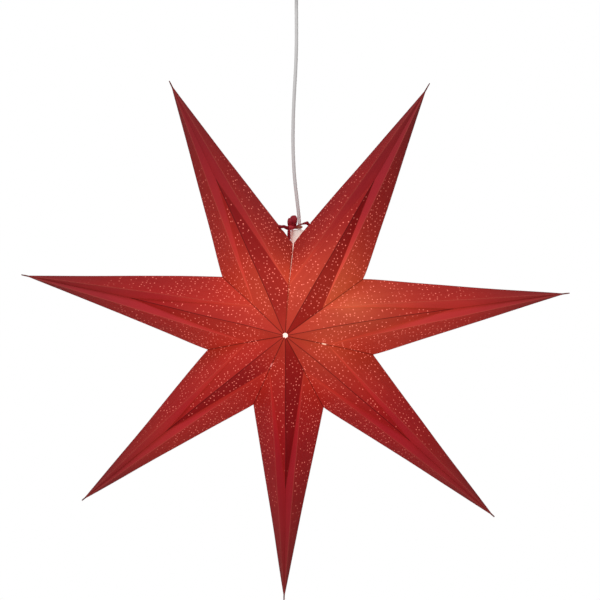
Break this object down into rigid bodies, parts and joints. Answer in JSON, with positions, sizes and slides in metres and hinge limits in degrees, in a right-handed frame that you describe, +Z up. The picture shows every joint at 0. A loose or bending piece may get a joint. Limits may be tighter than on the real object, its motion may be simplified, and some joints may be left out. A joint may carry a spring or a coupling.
{
  "type": "paper star lantern",
  "caption": "Hanging folded paper star lamp: hollow pointed arms tied by a ribbon round a lamp cord, with a screw-in bulb inside and a cup-shaped ceiling fitting above.",
  "frame": {"origin": "centre of the ceiling fitting's top face, where it meets the ceiling", "axes": "+Z up towards the ceiling, +X to the right of the star seen from its front, +Y to its back"},
  "size_m": [0.7104, 0.1756, 0.8785],
  "materials": {
    "red_paper": "punched red paper, creased, lit from inside",
    "red_ribbon": "dark red satin ribbon",
    "white_cord": "soft white cord sheath",
    "wire_sleeve": "soft wire insulation",
    "cream_plastic": "cream moulded plastic",
    "white_plastic": "white moulded plastic",
    "clear_plastic": "milky moulded plastic",
    "white_enamel": "white enamelled steel",
    "zinc_steel": "zinc plated steel",
    "brass": "plain brass",
    "nickel": "nickel plated sheet",
    "solder": "dull solder",
    "porcelain": "unglazed porcelain",
    "black_glass": "opaque black glass",
    "frosted_glass": "lightly frosted warm glass",
    "clear_glass": "clear glass",
    "phosphor": "yellow phosphor coat"
  },
  "bodies": {
    "ceiling": {"ceiling_strap": "zinc_steel", "ceiling_cup": "white_enamel", "cup_screws": "zinc_steel", "gland_body": "white_plastic", "gland_nut": "white_plastic", "gland_screw": "white_plastic", "terminal_block": "clear_plastic", "block_screw": "zinc_steel", "terminal_screws": "brass", "wire_cores": "wire_sleeve", "cord_tail": "white_cord"},
    "cord": {"cord": "white_cord", "holder_cap": "cream_plastic", "cord_grip": "cream_plastic", "holder_wires": "wire_sleeve", "holder_body": "cream_plastic", "holder_insert": "porcelain", "thread_shell": "brass", "shell_screws": "zinc_steel", "centre_contact": "brass", "contact_rivet": "zinc_steel"},
    "bulb_contact": {"bulb_tip": "solder"},
    "bulb": {"bulb_insulator": "black_glass", "bulb_cap": "nickel", "bulb_glass": "frosted_glass", "bulb_stem": "clear_glass", "filament_support": "zinc_steel", "filaments": "phosphor"},
    "tie": {"tie_bow": "red_ribbon"},
    "star": {"arm_upper_right": "red_paper", "arm_right": "red_paper", "arm_lower_right": "red_paper", "arm_bottom": "red_paper", "arm_lower_left": "red_paper", "arm_left": "red_paper", "arm_upper_left": "red_paper", "tie_ribbon_left": "red_ribbon", "tie_ribbon_right": "red_ribbon"}
  },
  "joints": [
    {"name": "pendant_swing", "type": "hinge", "parent": "ceiling", "child": "cord", "pos_m": [0, 0, -0.0767], "axis": [1, 0, 0], "range_deg": [-20, 20]},
    {"name": "star_turn", "type": "hinge", "parent": "cord", "child": "tie", "pos_m": [0.0039, 0.007, -0.39], "axis": [0, 0, 1], "continuous": true},
    {"name": "star_rock", "type": "hinge", "parent": "tie", "child": "star", "pos_m": [-0.00667, -0.003, -0.39], "axis": [0, 1, 0], "range_deg": [-5, 5]},
    {"name": "bulb_slide", "type": "slide", "parent": "cord", "child": "bulb_contact", "axis": [0, 0, -1], "range_m": [0, 0.01692]},
    {"name": "bulb_turn", "type": "hinge", "parent": "bulb_contact", "child": "bulb", "pos_m": [0.0039, 0.007, -0.4], "axis": [0, 0, -1], "range_deg": [0, 2160]}
  ],
  "couplings": [
    {"joint": "bulb_slide", "follows": "bulb_turn", "m_per_rad": 0.0004488}
  ]
}
